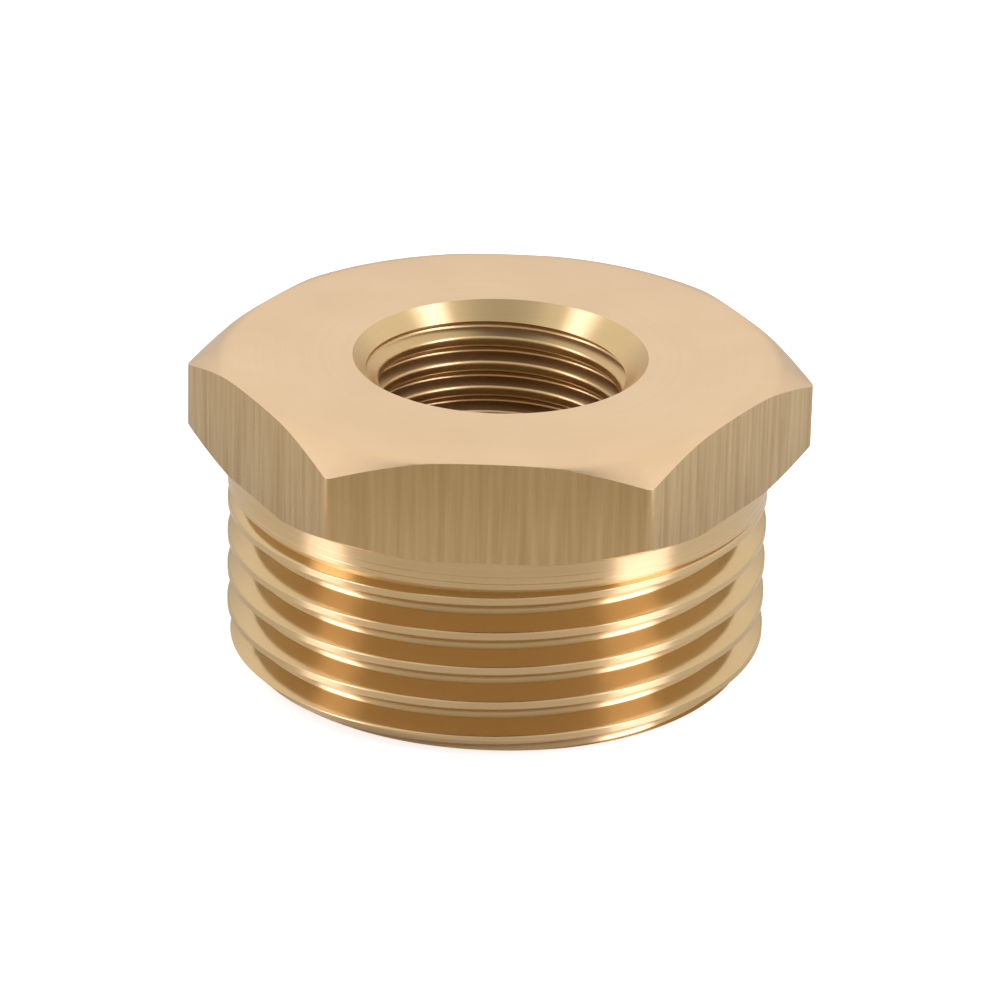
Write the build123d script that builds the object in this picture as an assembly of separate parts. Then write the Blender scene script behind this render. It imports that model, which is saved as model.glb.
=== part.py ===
from build123d import *
from build123d.topology import SkipClean
from math import cos, radians, tan
import os

# Hex reducing bushing, turned from one piece of brass hex bar.
# Millimetres, +Z up. The origin is the middle of the lower end of the male thread.
# Two corners of the hex lie on the X axis.

# Hex head, for a 27 mm spanner. Each corner is cut back by a shallow cone.
HEX_ACROSS_FLATS = 26.5
HEX_HEIGHT = 5.1
TOP_CORNER_DROP = 1.08
LOWER_CORNER_DROP = 1.0
HEX_CHAMFER_ANGLE = 30.0

# Male pipe thread, G 3/4, with a plain neck between it and the hex.
# The first crest depth is taken from the hex, at the front (-Y).
MALE_MAJOR_DIAMETER = 26.441
MALE_THREADS_PER_INCH = 14
MALE_FIRST_CREST_DEPTH = 2.09
SHANK_LENGTH = 10.3
NECK_LENGTH = 1.1
RUN_OUT_ANGLE = 45.0
END_CHAMFER = 1.0
END_CHAMFER_ANGLE = 45.0

# Tapping hole for the female pipe thread, G 1/4, right through and countersunk at both ends.
# The hole is as wide as that thread's crests. Its fine grooves aren't cut here.
# A mouth margin is how far the countersink reaches past the thread's roots.
FEMALE_MAJOR_DIAMETER = 13.157
FEMALE_THREADS_PER_INCH = 19
UPPER_MOUTH_MARGIN = 0.62
LOWER_MOUTH_MARGIN = 0.32
COUNTERSINK_ANGLE = 90.0

# Whitworth thread form, with its crests and roots cut flat
INCH = 25.4
THREAD_ANGLE = 55.0
FLAT_SHARE = 1 / 6

# Stock left beyond each end while the thread is cut
SPARE = 5.0

# Where the round faces are parted into quarter turns, clear of the thread's start at the end chamfer
PARTING_ANGLE = 25.0

FLANK_SLOPE = tan(radians(THREAD_ANGLE / 2))
HEX_CORNER = HEX_ACROSS_FLATS / 2 / cos(radians(30))
TOTAL_HEIGHT = SHANK_LENGTH + HEX_HEIGHT
FRONT = -90


class Thread:
    """Sizes of a parallel Whitworth thread."""

    def __init__(self, threads_per_inch, major_diameter):
        self.pitch = INCH / threads_per_inch
        self.depth = self.pitch * (1 - 2 * FLAT_SHARE) / 2 / FLANK_SLOPE
        self.major = major_diameter / 2
        self.minor = self.major - self.depth


def helical_groove(thread, bottom, top, crest_angle, crest_height):
    """The right-hand groove of a male thread with a crest at the given angle and height."""
    overlap = thread.pitch / 16
    across = thread.depth + overlap
    half_root = thread.pitch * FLAT_SHARE / 2
    half_open = half_root + across * FLANK_SLOPE
    path = Helix(thread.pitch, top - bottom, thread.minor)
    outline = Polyline((0, -half_root), (across, -half_open), (across, half_open), (0, half_root), close=True)
    section = Plane(origin=path @ 0, x_dir=(1, 0, 0), z_dir=path % 0) * make_face(outline)
    turn = crest_angle + 360 * ((bottom - crest_height) / thread.pitch - 0.5)
    return Pos(0, 0, bottom) * Rot(0, 0, turn) * sweep(section, path, is_frenet=True)


def turned(*outline):
    """A solid of revolution about Z from points of (radius, height)."""
    return revolve(Plane.XZ * make_face(Polyline(*outline, close=True)), Axis.Z)


def make_stock(male, female):
    """Hex bar above and round bar below, drilled through, with spare length at both ends."""
    hexagon = Plane.XY.offset(SHANK_LENGTH) * RegularPolygon(HEX_CORNER, 6)
    stock = extrude(hexagon, HEX_HEIGHT + SPARE)
    round_length = SHANK_LENGTH + SPARE
    stock += Pos(0, 0, SHANK_LENGTH - round_length / 2) * Cylinder(male.major, round_length)
    drill_length = TOTAL_HEIGHT + 4 * SPARE
    return stock - Pos(0, 0, TOTAL_HEIGHT / 2) * Cylinder(female.minor, drill_length)


def make_male_groove(male):
    """The male groove, running out against a cone under the neck."""
    neck_bottom = SHANK_LENGTH - NECK_LENGTH
    run_out = 1 / tan(radians(RUN_OUT_ANGLE))
    uncut = turned(
        (0, neck_bottom - male.major * run_out),
        (HEX_CORNER, neck_bottom + (HEX_CORNER - male.major) * run_out),
        (HEX_CORNER, TOTAL_HEIGHT + SPARE),
        (0, TOTAL_HEIGHT + SPARE),
    )
    first_crest = SHANK_LENGTH - MALE_FIRST_CREST_DEPTH
    return helical_groove(male, -SPARE / 2, SHANK_LENGTH + male.pitch, FRONT, first_crest) - uncut


def make_envelope(male, female):
    """The turned outside: ends faced, hex corners coned, thread end chamfered, bore countersunk."""
    rise = tan(radians(HEX_CHAMFER_ANGLE))
    sink = 1 / tan(radians(COUNTERSINK_ANGLE / 2))
    end_rise = 1 / tan(radians(END_CHAMFER_ANGLE))
    top_circle = HEX_CORNER - TOP_CORNER_DROP / rise
    lower_circle = max(HEX_CORNER - LOWER_CORNER_DROP / rise, male.major + male.pitch / 16)
    corner_clear = max(HEX_CORNER, lower_circle) + male.pitch
    end_rim = male.major - END_CHAMFER
    upper_mouth = female.major + UPPER_MOUTH_MARGIN
    lower_mouth = female.major + LOWER_MOUTH_MARGIN
    return turned(
        (lower_mouth, 0),
        (end_rim, 0),
        (lower_circle, (lower_circle - end_rim) * end_rise),
        (lower_circle, SHANK_LENGTH),
        (corner_clear, SHANK_LENGTH + (corner_clear - lower_circle) * rise),
        (corner_clear, TOTAL_HEIGHT - (corner_clear - top_circle) * rise),
        (top_circle, TOTAL_HEIGHT),
        (upper_mouth, TOTAL_HEIGHT),
        (female.minor, TOTAL_HEIGHT - (upper_mouth - female.minor) * sink),
        (female.minor, (lower_mouth - female.minor) * sink),
    )


def in_quarters(solid):
    """The same solid with its faces parted, so that no face winds past a quarter turn."""
    side = 2 * HEX_CORNER
    block = Pos(side / 2, side / 2, TOTAL_HEIGHT / 2) * Box(side, side, TOTAL_HEIGHT + SPARE)
    quarters = [solid & (Rot(0, 0, PARTING_ANGLE + 90 * turn) * block) for turn in range(4)]
    return quarters[0].fuse(*quarters[1:])


def make_bushing():
    male = Thread(MALE_THREADS_PER_INCH, MALE_MAJOR_DIAMETER)
    female = Thread(FEMALE_THREADS_PER_INCH, FEMALE_MAJOR_DIAMETER)
    blank = make_stock(male, female) - make_male_groove(male)
    return in_quarters(blank & make_envelope(male, female))


os.makedirs("parts", exist_ok=True)
with SkipClean():
    hex_bushing = make_bushing()
export_step(hex_bushing, "parts/hex_bushing.step")
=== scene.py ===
from math import ceil, cos, pi, radians, sin, tan

import bmesh
import bpy
from mathutils import Matrix, Vector


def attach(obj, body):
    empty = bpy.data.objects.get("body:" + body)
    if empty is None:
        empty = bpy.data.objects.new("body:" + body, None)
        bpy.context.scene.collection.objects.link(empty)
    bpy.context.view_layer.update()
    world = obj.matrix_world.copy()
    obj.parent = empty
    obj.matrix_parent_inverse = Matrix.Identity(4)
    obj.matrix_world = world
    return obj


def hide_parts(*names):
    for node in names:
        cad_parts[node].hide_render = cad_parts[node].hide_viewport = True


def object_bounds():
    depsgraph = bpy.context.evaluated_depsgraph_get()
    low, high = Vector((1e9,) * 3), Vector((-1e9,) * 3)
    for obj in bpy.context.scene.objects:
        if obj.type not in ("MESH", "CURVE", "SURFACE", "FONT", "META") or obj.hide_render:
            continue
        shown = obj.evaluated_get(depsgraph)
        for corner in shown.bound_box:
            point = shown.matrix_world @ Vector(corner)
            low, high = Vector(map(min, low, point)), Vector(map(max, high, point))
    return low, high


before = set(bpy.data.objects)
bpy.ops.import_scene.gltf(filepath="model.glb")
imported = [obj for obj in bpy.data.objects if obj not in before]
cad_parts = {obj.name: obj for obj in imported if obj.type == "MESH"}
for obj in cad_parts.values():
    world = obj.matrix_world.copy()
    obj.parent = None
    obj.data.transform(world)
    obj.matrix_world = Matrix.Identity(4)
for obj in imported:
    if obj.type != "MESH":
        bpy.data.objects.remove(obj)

# Hex reducing bushing in brass.
# Sizes are in millimetres and shapes are brought to metres at the end. The studio is in metres.

MM = 0.001
INCH = 25.4
TURN = 2 * pi

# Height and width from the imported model
CAD_LOW, CAD_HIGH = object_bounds()
TOTAL_HEIGHT = CAD_HIGH.z / MM
HEX_ACROSS_FLATS = (CAD_HIGH.y - CAD_LOW.y) / MM

# Hex head. A drop is how far a corner is cut back along the axis.
HEX_SIDES = 6
FIRST_FLAT_ANGLE = 180 / HEX_SIDES
HEX_CORNER = HEX_ACROSS_FLATS / 2 / cos(radians(180 / HEX_SIDES))
HEX_HEIGHT = 5.1
TOP_CORNER_DROP = 1.08
LOWER_CORNER_DROP = 1.0
HEX_CHAMFER_ANGLE = 30.0
HEX_CORNER_ROUNDING = 0.28
HEX_RIM_ROUNDING = 0.08
TOP_RIM_ROUNDING = 1.5

# Shank: G 3/4 thread under a neck. Its crests are cut a little full, then turned down flat.
SHANK_LENGTH = TOTAL_HEIGHT - HEX_HEIGHT
MALE_MAJOR_DIAMETER = 26.441
MALE_THREADS_PER_INCH = 14
MALE_FIRST_CREST_DEPTH = 2.02
MALE_CREST_FLAT = 0.05
NECK_DIAMETER = 26.46
NECK_LENGTH = 1.34
END_CHAMFER = 1.0
# Depth from the hex and width of each ring line in the neck
RING_LINES = ((0.72, 0.03), (1.09, 0.07))
# How far the thread and the neck reach into each other
RUN_OUT_OVERLAP = 0.3

# Bore: G 1/4 thread between two countersinks, its crests left flat by a wide tapping drill.
# A margin is how far a countersink reaches past the thread's roots.
FEMALE_MAJOR_DIAMETER = 13.157
FEMALE_THREADS_PER_INCH = 19
FEMALE_FIRST_CREST_DEPTH = 1.77
TAPPING_DRILL_DIAMETER = 11.85
FEMALE_CREST_ROUNDING = 0.2
UPPER_MOUTH_MARGIN = 0.62
LOWER_MOUTH_MARGIN = 0.32

# Whitworth form. Depth and rounding are shares of the pitch.
THREAD_HALF_ANGLE = 27.5
THREAD_DEPTH_SHARE = 0.640327
THREAD_RADIUS_SHARE = 0.137329

# How far tools and blanks reach past the faces that they cut, and how many turns a thread has to spare there
SPARE = 1.0
SPARE_TURNS = 1

# How finely round shapes are divided
ROUND_STEPS = 288
MALE_STEPS = 180
FEMALE_STEPS = 120
THREAD_ARC_STEPS = 8
CORNER_STEPS = 4
EDGE_STEPS = 3

# Gaps under which points are one: between two turns of thread, in a turned shape and in the finished mesh
SEAM_GAP = 0.002
TURNED_GAP = 1e-5
MESH_GAP = 1e-4

# Edges of the hex that turn more than the first are broken. In the end, those past the second look sharp.
BROKEN_ANGLE = 15.0
SHARP_ANGLE = 32.0

# A slope is the Z part of a face's normal. The flats slope less than FLAT_SLOPE while they are cut and less
# than DRAWN_SLOPE in the end. The top and its cones rise more than FACED_SLOPE. Flanks slope more than
# FLANK_SLOPE, and the countersinks by COUNTERSINK_SLOPE, give or take SLOPE_MARGIN.
FLAT_SLOPE = 0.001
DRAWN_SLOPE = 0.02
FACED_SLOPE = 0.75
FLANK_SLOPE = 0.8
COUNTERSINK_SLOPE = cos(radians(45))
SLOPE_MARGIN = 0.01
# How close to a limit a face may lie and still count as on it
PLACE_MARGIN = 0.01

FRONT = radians(-90)
BACK = radians(90)

# Camera of the photograph, round a point on the bushing's axis
AIM_DEPTH = 2.236
AIM_HEIGHT = SHANK_LENGTH - AIM_DEPTH
CAMERA_DISTANCE = 310.08
CAMERA_AZIMUTH = 1.742
CAMERA_ELEVATION = 23.985
CAMERA_ROLL = 1.328
FOCAL_LENGTH = 227.6
SENSOR_WIDTH = 36.0
AIM_PIXEL = (497.45, 493.0)
IMAGE_SIZE = 1000
CLIP_START = 0.01

# Colours, as linear light
BRASS = (0.80, 0.58, 0.30, 1)
# Paler copy of the brass on the top and its cones: painted light, standing in for the light the upward faces
# catch.
LIT_TOP_BRASS = (0.90, 0.64, 0.395, 1)
# Darker copy of the brass on the hex flats: painted shade, standing in for the darker floor the flats
# mirror.
SHADED_FLAT_BRASS = (0.64, 0.46, 0.225, 1)
# Darker copy of the brass on the male thread's flanks: painted shade of the grooves.
SHADED_FLANK_BRASS = (0.68, 0.485, 0.25, 1)
# Darker copy of the brass in the bore: painted shade of the recess.
SHADED_BORE_BRASS = (0.66, 0.46, 0.23, 1)
DARK_BRASS = (0.52, 0.34, 0.15, 1)
# Floor: painted shade in front, darker and warmer, on the camera's side, and painted light behind, paler and
# cooler
FLOOR_SHADED_IN_FRONT = (0.62, 0.555, 0.455, 1)
FLOOR_LIT_BEHIND = (0.84, 0.87, 0.93, 1)
WHITE = (1, 1, 1, 1)

# Parts of a full turn from the direction round the axis to the one along which a finish draws light out
ACROSS_RINGS = 0.25
ACROSS_STREAKS = 0.0

# The finishes of the brass, by slot. Spacing and relief are those of the tool lines. Tint and patches say
# how far lines and soft patches darken the colour, and spread how far the lines roughen it.
# Their colours are also painted light: the faced brass is paler for the lit top, and the drawn, cut and
# tapped brass are darker as painted shade on the flats, flanks and bore.
TURNED, DRAWN, FACED, CUT, TAPPED = range(5)
FINISHES = {
    TURNED: dict(
        name="turned_brass", colour=BRASS, lines="turned_lines", spacing=0.12, relief=0.001, tint=0.15,
        patches=0.2, roughness=0.26, spread=0.06, anisotropy=1.0, turn=ACROSS_RINGS,
    ),
    DRAWN: dict(
        name="drawn_brass", colour=SHADED_FLAT_BRASS, lines="drawn_lines", spacing=0.3, relief=0.002, tint=0.75,
        patches=0.15, roughness=0.25, spread=0.15, anisotropy=0.8, turn=ACROSS_STREAKS,
    ),
    FACED: dict(
        name="faced_brass", colour=LIT_TOP_BRASS, lines="turned_lines", spacing=0.15, relief=0.001, tint=0.08,
        patches=0.3, roughness=0.28, spread=0.05, anisotropy=0.3, turn=ACROSS_RINGS,
    ),
    CUT: dict(
        name="cut_brass", colour=SHADED_FLANK_BRASS, lines="turned_lines", spacing=0.12, relief=0.001, tint=0.1,
        patches=0.3, roughness=0.12, spread=0.08, anisotropy=0.0, turn=ACROSS_RINGS,
    ),
    TAPPED: dict(
        name="tapped_brass", colour=SHADED_BORE_BRASS, lines="turned_lines", spacing=0.12, relief=0.001, tint=0.1,
        patches=0.3, roughness=0.27, spread=0.08, anisotropy=0.0, turn=ACROSS_RINGS,
    ),
}
PATCHES_PER_MM = 0.25
STREAK_LENGTH = 8.0
# How many finer layers each noise has
RING_DETAIL = 2
STREAK_DETAIL = 3
PATCH_DETAIL = 4
# Levels of the noise between which a streak goes from faint to full
STREAK_CONTRAST = (0.35, 0.7)

# Light levels, where 1 is white. A glow is what the floor adds for one kind of ray.
FLOOR_GLOW_IN_CAMERA = 0.66
FLOOR_GLOW_IN_METAL = 0.02
ROOM_LIGHT = 0.85
CAMERA_SIDE_LIGHT = 0.55
CEILING_LIGHT = 0.06
HORIZON_LIGHT = 0.5

# Where the room changes from one level to another, along Y or Z of a direction one unit long
CAMERA_SIDE = (-0.85, -0.4)
CEILING = (0.94, 0.97)
HORIZON = (0, 0.42)

# The floor's painted shade in front turns to painted light behind between these places along Y, earlier on
# the right, where painted light from the right softbox falls
FLOOR_TONE = (-0.05, 0.03)
FLOOR_TONE_SLANT = 0.35
FLOOR_ROUGHNESS = 0.25
FLOOR_HALF_WIDTH = 3.0
FLOOR_DROP = 0.00002

# Name, azimuth from the front, width and brightness of each softbox
SOFTBOXES = (("left_softbox", -72, 0.2, 4.0), ("right_softbox", 64, 0.26, 4.6))
SOFTBOX_DISTANCE = 0.6
SOFTBOX_HEIGHT = 0.7
SOFTBOX_TINT = (0.95, 0.96, 1.25)


# Outlines, as points of (radius, height)


def rounded(before, corner, after, radius):
    """Points of an arc that rounds a corner of an outline."""
    b, c, a = Vector(before), Vector(corner), Vector(after)
    back, ahead = (b - c).normalized(), (a - c).normalized()
    half = back.angle(ahead) / 2
    start = c + back * radius / tan(half)
    centre = c + (back + ahead).normalized() * radius / sin(half)
    sweep = (start - centre).angle_signed(c + ahead * radius / tan(half) - centre)
    points = []
    for i in range(CORNER_STEPS + 1):
        arm = (start - centre).copy()
        arm.rotate(Matrix.Rotation(-sweep * i / CORNER_STEPS, 2))
        points.append(tuple(centre + arm))
    return points


class Thread:
    """A right-hand parallel Whitworth thread, with a crest at the given angle and height."""

    def __init__(self, threads_per_inch, major_diameter, crest_angle, crest_height, root_flat=None):
        self.pitch = INCH / threads_per_inch
        self.major = major_diameter / 2
        self.minor = self.major - THREAD_DEPTH_SHARE * self.pitch
        self.rounding = THREAD_RADIUS_SHARE * self.pitch
        self.crest_angle = crest_angle
        self.crest_height = crest_height
        self.root_flat = root_flat

    def outline(self):
        """One pitch, from the middle of a root over the crest to the next root."""
        half_turn = radians(90 - THREAD_HALF_ANGLE)
        crest = []
        for i in range(THREAD_ARC_STEPS + 1):
            a = half_turn * (2 * i / THREAD_ARC_STEPS - 1)
            crest.append((self.major - self.rounding + self.rounding * cos(a), self.rounding * sin(a)))
        root = self.flat_root(crest[0]) if self.root_flat else self.round_root(half_turn)
        lower_root = [(r, z - self.pitch / 2) for r, z in root]
        upper_root = [(r, self.pitch / 2 - z) for r, z in reversed(root)]
        return lower_root + crest + upper_root

    def round_root(self, half_turn):
        """Half a rounded root, with heights from its middle."""
        root = []
        for i in range(THREAD_ARC_STEPS // 2 + 1):
            a = half_turn * 2 * i / THREAD_ARC_STEPS
            root.append((self.minor + self.rounding - self.rounding * cos(a), self.rounding * sin(a)))
        return root

    def flat_root(self, flank_end):
        """Half a root that is flat at a given diameter, with its corner rounded."""
        flat = self.root_flat / 2
        flank_height = flank_end[1] + self.pitch / 2
        edge = (flat, flank_height - (flank_end[0] - flat) * tan(radians(THREAD_HALF_ANGLE)))
        return [(flat, 0)] + rounded((flat, 0), edge, (flank_end[0], flank_height), FEMALE_CREST_ROUNDING)


MALE = Thread(
    MALE_THREADS_PER_INCH,
    MALE_MAJOR_DIAMETER + 2 * MALE_CREST_FLAT,
    FRONT,
    SHANK_LENGTH - MALE_FIRST_CREST_DEPTH,
)
# This is the tap that cuts the bore. Its crests lie half a turn from those of the bore.
FEMALE = Thread(
    FEMALE_THREADS_PER_INCH,
    FEMALE_MAJOR_DIAMETER,
    BACK + pi,
    TOTAL_HEIGHT - FEMALE_FIRST_CREST_DEPTH,
    root_flat=TAPPING_DRILL_DIAMETER,
)


# Mesh helpers


def outline_geometry(bm, points):
    """A chain of edges through the points of an outline, in the XZ plane."""
    verts = [bm.verts.new((r, 0, z)) for r, z in points]
    edges = [bm.edges.new(pair) for pair in zip(verts, verts[1:])]
    return verts + edges


def turned(points):
    """A closed solid turned about Z from an outline that starts and ends on the axis."""
    bm = bmesh.new()
    bmesh.ops.spin(
        bm,
        geom=outline_geometry(bm, points),
        cent=(0, 0, 0),
        axis=(0, 0, 1),
        angle=TURN,
        steps=ROUND_STEPS,
        use_merge=True,
    )
    bmesh.ops.remove_doubles(bm, verts=bm.verts, dist=TURNED_GAP)
    bmesh.ops.recalc_face_normals(bm, faces=bm.faces)
    return bm


def threaded_rod(thread, bottom, top, steps):
    """A closed threaded rod between two heights: one turn of its surface, repeated down the axis."""
    bm = bmesh.new()
    bmesh.ops.spin(
        bm,
        geom=outline_geometry(bm, thread.outline()),
        cent=(0, 0, 0),
        axis=(0, 0, 1),
        dvec=(0, 0, thread.pitch / steps),
        angle=TURN,
        steps=steps,
        use_merge=False,
    )
    turns_above = ceil((top - thread.crest_height) / thread.pitch) + SPARE_TURNS
    place = Matrix.Translation((0, 0, thread.crest_height + turns_above * thread.pitch))
    bmesh.ops.transform(bm, matrix=place @ Matrix.Rotation(thread.crest_angle, 4, "Z"), verts=bm.verts)
    top_turn = bpy.data.meshes.new("turn")
    bm.to_mesh(top_turn)
    for _ in range(ceil((top - bottom) / thread.pitch) + 2 * SPARE_TURNS + 1):
        bmesh.ops.translate(bm, vec=(0, 0, -thread.pitch), verts=bm.verts)
        bm.from_mesh(top_turn)
    bpy.data.meshes.remove(top_turn)
    bmesh.ops.remove_doubles(bm, verts=bm.verts, dist=SEAM_GAP)
    cut_flat(bm, (0, 0, bottom), (0, 0, -1))
    cut_flat(bm, (0, 0, top), (0, 0, 1))
    bmesh.ops.recalc_face_normals(bm, faces=bm.faces)
    return bm


def cut_flat(bm, point, outward):
    """Cuts away what lies beyond a plane and closes the cut."""
    bmesh.ops.bisect_plane(
        bm,
        geom=bm.verts[:] + bm.edges[:] + bm.faces[:],
        dist=TURNED_GAP,
        plane_co=point,
        plane_no=outward,
        clear_outer=True,
    )
    bmesh.ops.holes_fill(bm, edges=[e for e in bm.edges if e.is_boundary], sides=0)


def break_edges(bm, edges, offset):
    bmesh.ops.bevel(
        bm,
        geom=edges,
        offset=offset,
        offset_type="OFFSET",
        segments=EDGE_STEPS,
        profile=0.5,
        affect="EDGES",
        material=-1,
        clamp_overlap=True,
    )


def as_object(name, bm):
    mesh = bpy.data.meshes.new(name)
    bm.to_mesh(mesh)
    bm.free()
    piece = bpy.data.objects.new(name, mesh)
    bpy.context.scene.collection.objects.link(piece)
    return piece


def combined(base, tool, operation):
    """Two solids joined, cut or crossed. The tool is used up."""
    name = base.name
    modifier = base.modifiers.new(operation, "BOOLEAN")
    modifier.operation = operation
    modifier.solver = "MANIFOLD"
    modifier.object = tool
    graph = bpy.context.evaluated_depsgraph_get()
    mesh = bpy.data.meshes.new_from_object(base.evaluated_get(graph))
    base.modifiers.clear()
    base.data = mesh
    bpy.data.objects.remove(tool)
    base.name = name
    return base


# Parts of the bushing


def hex_head():
    """The head: a turned blank with coned corners, its six flats cut and its edges broken."""
    rise = tan(radians(HEX_CHAMFER_ANGLE))
    beyond = HEX_CORNER + SPARE
    top_circle = HEX_CORNER - TOP_CORNER_DROP / rise
    lower_circle = HEX_CORNER - LOWER_CORNER_DROP / rise
    upper_edge = (beyond, TOTAL_HEIGHT - (beyond - top_circle) * rise)
    lower_edge = (beyond, SHANK_LENGTH + (beyond - lower_circle) * rise)
    rim = rounded((0, TOTAL_HEIGHT), (top_circle, TOTAL_HEIGHT), upper_edge, TOP_RIM_ROUNDING)
    bm = turned([
        (0, SHANK_LENGTH),
        (lower_circle, SHANK_LENGTH),
        lower_edge,
        upper_edge,
        *reversed(rim),
        (0, TOTAL_HEIGHT),
    ])
    for side in range(HEX_SIDES):
        angle = radians(FIRST_FLAT_ANGLE + side * 360 / HEX_SIDES)
        outward = Vector((cos(angle), sin(angle), 0))
        cut_flat(bm, outward * HEX_ACROSS_FLATS / 2, outward)
    break_edges(bm, [e for e in bm.edges if is_upright(e)], HEX_CORNER_ROUNDING)
    break_edges(bm, [e for e in bm.edges if is_flat_rim(e)], HEX_RIM_ROUNDING)
    return as_object("hex_head", bm)


def is_upright(edge):
    """One of the six upright corners of the hex."""
    low, high = edge.verts
    rise = abs(high.co.z - low.co.z)
    return rise > HEX_HEIGHT / 4 and edge.calc_face_angle(0) > radians(BROKEN_ANGLE)


def is_flat_rim(edge):
    """The rim of a flat against the cone above or below it."""
    upright = [abs(face.normal.z) < FLAT_SLOPE for face in edge.link_faces]
    return any(upright) and not all(upright) and edge.calc_face_angle(0) > radians(BROKEN_ANGLE)


def neck():
    """The plain neck, with fine ring lines, coned below where the thread runs out."""
    radius = NECK_DIAMETER / 2
    bottom = SHANK_LENGTH - NECK_LENGTH
    inside = MALE.minor - RUN_OUT_OVERLAP
    points = [(0, bottom - radius + inside), (inside, bottom - radius + inside), (radius, bottom)]
    for depth, width in reversed(RING_LINES):
        line = SHANK_LENGTH - depth
        points += [(radius, line - width / 2), (radius - width / 2, line), (radius, line + width / 2)]
    points += [(radius, SHANK_LENGTH + SPARE), (0, SHANK_LENGTH + SPARE)]
    return as_object("neck", turned(points))


def turned_shank():
    """The blank that holds the thread to its outside diameter and its lower end to a 45 degree chamfer."""
    radius = MALE_MAJOR_DIAMETER / 2
    top = SHANK_LENGTH + 2 * SPARE
    points = [(0, 0), (radius - END_CHAMFER, 0), (radius, END_CHAMFER), (radius, top), (0, top)]
    return as_object("turned_shank", turned(points))


def countersink(margin, face, outward):
    """A 90 degree cone that opens the bore's mouth at a face."""
    mouth = FEMALE.major + margin
    tip = FEMALE.minor - SPARE
    return as_object("countersink", turned([
        (0, face - outward * (mouth - tip)),
        (tip, face - outward * (mouth - tip)),
        (mouth + SPARE, face + outward * SPARE),
        (0, face + outward * SPARE),
    ]))


def make_bushing():
    thread_top = SHANK_LENGTH - NECK_LENGTH + RUN_OUT_OVERLAP
    body = as_object("hex_bushing_skin", threaded_rod(MALE, -SPARE, thread_top, MALE_STEPS))
    body = combined(body, turned_shank(), "INTERSECT")
    body = combined(body, neck(), "UNION")
    body = combined(body, hex_head(), "UNION")
    tap = as_object("tap", threaded_rod(FEMALE, -SPARE, TOTAL_HEIGHT + SPARE, FEMALE_STEPS))
    body = combined(body, tap, "DIFFERENCE")
    body = combined(body, countersink(UPPER_MOUTH_MARGIN, TOTAL_HEIGHT, 1), "DIFFERENCE")
    return combined(body, countersink(LOWER_MOUTH_MARGIN, 0, -1), "DIFFERENCE")


def finish_mesh(piece):
    """Gives each face its finish, brings the mesh to metres and smooths it up to its sharp edges."""
    bm = bmesh.new()
    bm.from_mesh(piece.data)
    bmesh.ops.remove_doubles(bm, verts=bm.verts, dist=MESH_GAP)
    bmesh.ops.dissolve_degenerate(bm, edges=bm.edges, dist=MESH_GAP)
    bmesh.ops.scale(bm, vec=(MM, MM, MM), verts=bm.verts)
    bmesh.ops.recalc_face_normals(bm, faces=bm.faces)
    for face in bm.faces:
        face.smooth = True
        face.material_index = finish_of(face)
    piece.data.materials.clear()
    bm.to_mesh(piece.data)
    bm.free()
    piece.data.set_sharp_from_angle(angle=radians(SHARP_ANGLE))


def finish_of(face):
    """The finish of a face: drawn on the flats, faced on top and on the cones round it, cut on the male
    flanks, tapped in the bore and turned elsewhere. All but the turned finish carry painted light in
    their colour: paler on top and its cones, painted shade on the flats, the flanks and in the bore."""
    centre = face.calc_center_median() / MM
    slope = abs(face.normal.z)
    outward = centre.x * face.normal.x + centre.y * face.normal.y
    on_head = centre.z > SHANK_LENGTH
    on_thread = PLACE_MARGIN < centre.z < SHANK_LENGTH - NECK_LENGTH and outward > 0
    in_bore = centre.xy.length < FEMALE.major + PLACE_MARGIN and outward < 0
    if on_head and slope < DRAWN_SLOPE and outward > HEX_ACROSS_FLATS / 2 - PLACE_MARGIN:
        return DRAWN
    if on_head and face.normal.z > FACED_SLOPE and centre.xy.length > FEMALE.major:
        return FACED
    if on_thread and slope > FLANK_SLOPE:
        return CUT
    if in_bore and abs(slope - COUNTERSINK_SLOPE) >= SLOPE_MARGIN:
        return TAPPED
    return TURNED


# Node helpers

# Sockets of the mix node when it mixes colours
MIX_FIRST, MIX_SECOND, MIX_RESULT = 6, 7, 2


def node(tree, kind, **settings):
    made = tree.nodes.new(kind)
    for name, value in settings.items():
        setattr(made, name, value)
    return made


def plug(tree, value, socket):
    """Gives a socket another node's output or a fixed value."""
    if isinstance(value, bpy.types.NodeSocket):
        tree.links.new(value, socket)
    else:
        socket.default_value = value


def maths(tree, operation, first, second=0):
    made = node(tree, "ShaderNodeMath", operation=operation)
    plug(tree, first, made.inputs[0])
    plug(tree, second, made.inputs[1])
    return made.outputs[0]


def ramp(tree, value, places, at_start, at_end):
    """A value that goes steadily from one level to another between two places, and no further."""
    made = node(tree, "ShaderNodeMapRange", clamp=True)
    plug(tree, value, made.inputs["Value"])
    plug(tree, places[0], made.inputs["From Min"])
    plug(tree, places[1], made.inputs["From Max"])
    plug(tree, at_start, made.inputs["To Min"])
    plug(tree, at_end, made.inputs["To Max"])
    return made.outputs[0]


def mixed(tree, share, first, second):
    """A mix of two colours."""
    made = node(tree, "ShaderNodeMix", data_type="RGBA")
    plug(tree, share, made.inputs["Factor"])
    plug(tree, first, made.inputs[MIX_FIRST])
    plug(tree, second, made.inputs[MIX_SECOND])
    return made.outputs[MIX_RESULT]


def axes(tree, kind):
    """X, Y and Z of a texture coordinate."""
    place = node(tree, "ShaderNodeTexCoord")
    parts = node(tree, "ShaderNodeSeparateXYZ")
    plug(tree, place.outputs[kind], parts.inputs[0])
    return parts.outputs


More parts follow.
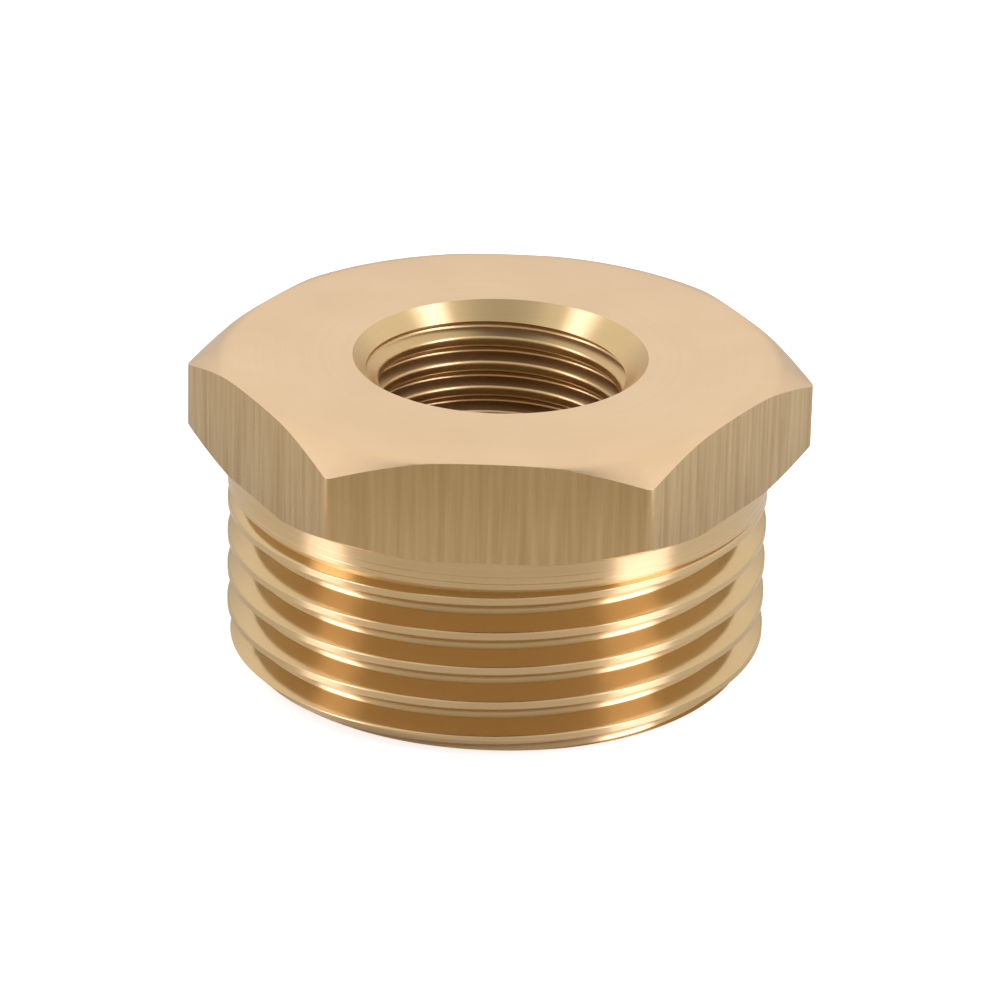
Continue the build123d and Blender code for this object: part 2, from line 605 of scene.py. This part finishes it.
def noise(tree, place, scale, detail, dimensions="3D"):
    made = node(tree, "ShaderNodeTexNoise", noise_dimensions=dimensions)
    plug(tree, place, made.inputs["Vector"])
    plug(tree, scale, made.inputs["Scale"])
    plug(tree, detail, made.inputs["Detail"])
    return made.outputs["Fac"]


def vector(tree, *parts):
    made = node(tree, "ShaderNodeCombineXYZ")
    for part, socket in zip(parts, made.inputs):
        plug(tree, part, socket)
    return made.outputs[0]


def new_group(name, inputs, outputs):
    group = bpy.data.node_groups.new(name, "ShaderNodeTree")
    for label, kind, value in inputs:
        socket = group.interface.new_socket(label, in_out="INPUT", socket_type=kind)
        socket.default_value = value
    for label, kind in outputs:
        group.interface.new_socket(label, in_out="OUTPUT", socket_type=kind)
    return group, group.nodes.new("NodeGroupInput"), group.nodes.new("NodeGroupOutput")


def shader_tree(data):
    data.use_nodes = True
    return data.node_tree


# Brass


def turned_lines_group():
    """Fine rings left by the lathe: noise that varies with radius and height alone."""
    group, given, result = new_group(
        "turned_lines", [("Spacing", "NodeSocketFloat", 0.1)], [("Lines", "NodeSocketFloat")]
    )
    x, y, z = axes(group, "Object")
    squares = maths(group, "ADD", maths(group, "MULTIPLY", x, x), maths(group, "MULTIPLY", y, y))
    radius = maths(group, "SQRT", squares)
    per_spacing = maths(group, "DIVIDE", 1 / MM, given.outputs["Spacing"])
    across = maths(group, "MULTIPLY", radius, per_spacing)
    along = maths(group, "MULTIPLY", z, per_spacing)
    place = vector(group, across, along)
    plug(group, noise(group, place, 1, RING_DETAIL, "2D"), result.inputs["Lines"])


def drawn_lines_group():
    """Fine upright lines of drawn hex bar: noise stretched along Z."""
    group, given, result = new_group(
        "drawn_lines",
        [("Spacing", "NodeSocketFloat", 0.1), ("Length", "NodeSocketFloat", STREAK_LENGTH)],
        [("Lines", "NodeSocketFloat")],
    )
    per_spacing = maths(group, "DIVIDE", 1 / MM, given.outputs["Spacing"])
    per_length = maths(group, "DIVIDE", 1 / MM, given.outputs["Length"])
    scales = (per_spacing, per_spacing, per_length)
    parts = zip(axes(group, "Object"), scales)
    place = vector(group, *(maths(group, "MULTIPLY", part, scale) for part, scale in parts))
    lines = ramp(group, noise(group, place, 1, STREAK_DETAIL), STREAK_CONTRAST, 0, 1)
    plug(group, lines, result.inputs["Lines"])


def brass_tone_group():
    """Brass colour that darkens in soft patches and along the tool lines."""
    group, given, result = new_group(
        "brass_tone",
        [
            ("Bright", "NodeSocketColor", BRASS),
            ("Dark", "NodeSocketColor", DARK_BRASS),
            ("Patches", "NodeSocketFloat", 0.3),
            ("Lines", "NodeSocketFloat", 0.5),
            ("Line Strength", "NodeSocketFloat", 0.2),
        ],
        [("Color", "NodeSocketColor")],
    )
    place = node(group, "ShaderNodeTexCoord").outputs["Object"]
    unevenness = noise(group, place, PATCHES_PER_MM / MM, PATCH_DETAIL)
    patches = maths(group, "MULTIPLY", unevenness, given.outputs["Patches"])
    lines = maths(group, "MULTIPLY", given.outputs["Lines"], given.outputs["Line Strength"])
    mask = maths(group, "ADD", patches, lines)
    colour = mixed(group, mask, given.outputs["Bright"], given.outputs["Dark"])
    plug(group, colour, result.inputs["Color"])


def brass_material(
    name, colour, lines, spacing, relief, tint, patches, roughness, spread, anisotropy, turn
):
    """One finish of the brass: its tool lines tint it, roughen it and draw the light out across them."""
    material = bpy.data.materials.new(name)
    tree = shader_tree(material)
    shader = tree.nodes["Principled BSDF"]
    shader.inputs["Metallic"].default_value = 1
    shader.inputs["Anisotropic"].default_value = anisotropy
    shader.inputs["Anisotropic Rotation"].default_value = turn
    around = node(tree, "ShaderNodeTangent", direction_type="RADIAL", axis="Z")
    plug(tree, around.outputs["Tangent"], shader.inputs["Tangent"])

    tool_lines = node(tree, "ShaderNodeGroup", node_tree=bpy.data.node_groups[lines])
    plug(tree, spacing, tool_lines.inputs["Spacing"])
    level = tool_lines.outputs["Lines"]

    tone = node(tree, "ShaderNodeGroup", node_tree=bpy.data.node_groups["brass_tone"])
    plug(tree, colour, tone.inputs["Bright"])
    plug(tree, patches, tone.inputs["Patches"])
    plug(tree, level, tone.inputs["Lines"])
    plug(tree, tint, tone.inputs["Line Strength"])
    plug(tree, tone.outputs["Color"], shader.inputs["Base Color"])

    rough = maths(tree, "ADD", maths(tree, "MULTIPLY", level, spread), roughness)
    plug(tree, rough, shader.inputs["Roughness"])

    bump = node(tree, "ShaderNodeBump")
    plug(tree, 1, bump.inputs["Strength"])
    plug(tree, relief * MM, bump.inputs["Distance"])
    plug(tree, level, bump.inputs["Height"])
    plug(tree, bump.outputs["Normal"], shader.inputs["Normal"])
    return material


def make_finishes():
    turned_lines_group()
    drawn_lines_group()
    brass_tone_group()
    return [brass_material(**FINISHES[slot]) for slot in sorted(FINISHES)]


# Studio


def floor_material():
    """Satin floor, painted a little darker and warmer in front as shade and paler behind as light. It glows
    to white for the camera, and hardly at all in metal."""
    material = bpy.data.materials.new("pale_floor")
    tree = shader_tree(material)
    shader = tree.nodes["Principled BSDF"]
    shader.inputs["Roughness"].default_value = FLOOR_ROUGHNESS
    x, y, _ = axes(tree, "Object")
    along = maths(tree, "ADD", y, maths(tree, "MULTIPLY", x, FLOOR_TONE_SLANT))
    tone = mixed(tree, ramp(tree, along, FLOOR_TONE, 0, 1), FLOOR_SHADED_IN_FRONT, FLOOR_LIT_BEHIND)
    plug(tree, tone, shader.inputs["Base Color"])

    rays = node(tree, "ShaderNodeLightPath").outputs
    shown = maths(tree, "ADD", rays["Is Camera Ray"], rays["Is Transmission Ray"])
    shown = maths(tree, "MULTIPLY", shown, FLOOR_GLOW_IN_CAMERA)
    mirrored = maths(tree, "MULTIPLY", rays["Is Glossy Ray"], FLOOR_GLOW_IN_METAL)
    glow = node(tree, "ShaderNodeEmission")
    plug(tree, maths(tree, "ADD", shown, mirrored), glow.inputs["Strength"])
    both = node(tree, "ShaderNodeAddShader")
    plug(tree, shader.outputs[0], both.inputs[0])
    plug(tree, glow.outputs[0], both.inputs[1])
    plug(tree, both.outputs[0], tree.nodes["Material Output"].inputs["Surface"])
    return material


def make_floor():
    bm = bmesh.new()
    bmesh.ops.create_grid(bm, x_segments=1, y_segments=1, size=FLOOR_HALF_WIDTH)
    floor = as_object("floor", bm)
    floor.location.z = -FLOOR_DROP
    floor.data.materials.append(floor_material())


def make_softbox(name, azimuth, width, brightness):
    """An upright rectangular lamp that stands on the floor and faces the bushing."""
    data = bpy.data.lights.new(name, "AREA")
    data.shape = "RECTANGLE"
    data.size = width
    data.size_y = SOFTBOX_HEIGHT
    data.energy = brightness * pi * width * SOFTBOX_HEIGHT
    data.color = SOFTBOX_TINT
    lamp = bpy.data.objects.new(name, data)
    bpy.context.scene.collection.objects.link(lamp)
    away = Vector((sin(radians(azimuth)), -cos(radians(azimuth)), 0))
    lamp.location = away * SOFTBOX_DISTANCE + Vector((0, 0, SOFTBOX_HEIGHT / 2))
    lamp.rotation_mode = "QUATERNION"
    lamp.rotation_quaternion = away.to_track_quat("Z", "Y")


def make_world():
    """A white room, darker on the camera's side, overhead and low down. It shows at full strength to the
    camera, in metal and through glass, and lights the rest softly."""
    world = bpy.data.worlds.new("studio")
    tree = shader_tree(world)
    background = tree.nodes["Background"]
    background.inputs["Color"].default_value = WHITE
    rays = node(tree, "ShaderNodeLightPath").outputs
    shown = maths(tree, "ADD", rays["Is Camera Ray"], rays["Is Glossy Ray"])
    shown = maths(tree, "MINIMUM", maths(tree, "ADD", shown, rays["Is Transmission Ray"]), 1)
    strength = maths(tree, "ADD", maths(tree, "MULTIPLY", shown, 1 - ROOM_LIGHT), ROOM_LIGHT)
    _, away, up = axes(tree, "Generated")
    for level in (
        ramp(tree, away, CAMERA_SIDE, CAMERA_SIDE_LIGHT, 1),
        ramp(tree, up, CEILING, 1, CEILING_LIGHT),
        ramp(tree, up, HORIZON, HORIZON_LIGHT, 1),
    ):
        strength = maths(tree, "MULTIPLY", strength, level)
    plug(tree, strength, background.inputs["Strength"])
    bpy.context.scene.world = world


def make_camera():
    data = bpy.data.cameras.new("camera")
    data.lens = FOCAL_LENGTH
    data.sensor_width = SENSOR_WIDTH
    data.shift_x = 0.5 - AIM_PIXEL[0] / IMAGE_SIZE
    data.shift_y = AIM_PIXEL[1] / IMAGE_SIZE - 0.5
    data.clip_start = CLIP_START
    camera = bpy.data.objects.new("camera", data)
    bpy.context.scene.collection.objects.link(camera)
    a, e = radians(CAMERA_AZIMUTH), radians(CAMERA_ELEVATION)
    back = Vector((sin(a) * cos(e), -cos(a) * cos(e), sin(e)))
    camera.location = Vector((0, 0, AIM_HEIGHT * MM)) + back * CAMERA_DISTANCE * MM
    upright = back.to_track_quat("Z", "Y").to_matrix()
    camera.rotation_mode = "QUATERNION"
    camera.rotation_quaternion = (upright @ Matrix.Rotation(radians(CAMERA_ROLL), 3, "Z")).to_quaternion()
    bpy.context.scene.camera = camera


# The whole scene

bushing = make_bushing()
finish_mesh(bushing)
for finish in make_finishes():
    bushing.data.materials.append(finish)
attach(bushing, "root")
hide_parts("hex_bushing")

make_floor()
make_world()
for softbox in SOFTBOXES:
    make_softbox(*softbox)
make_camera()
bpy.context.scene.view_settings.view_transform = "Standard"
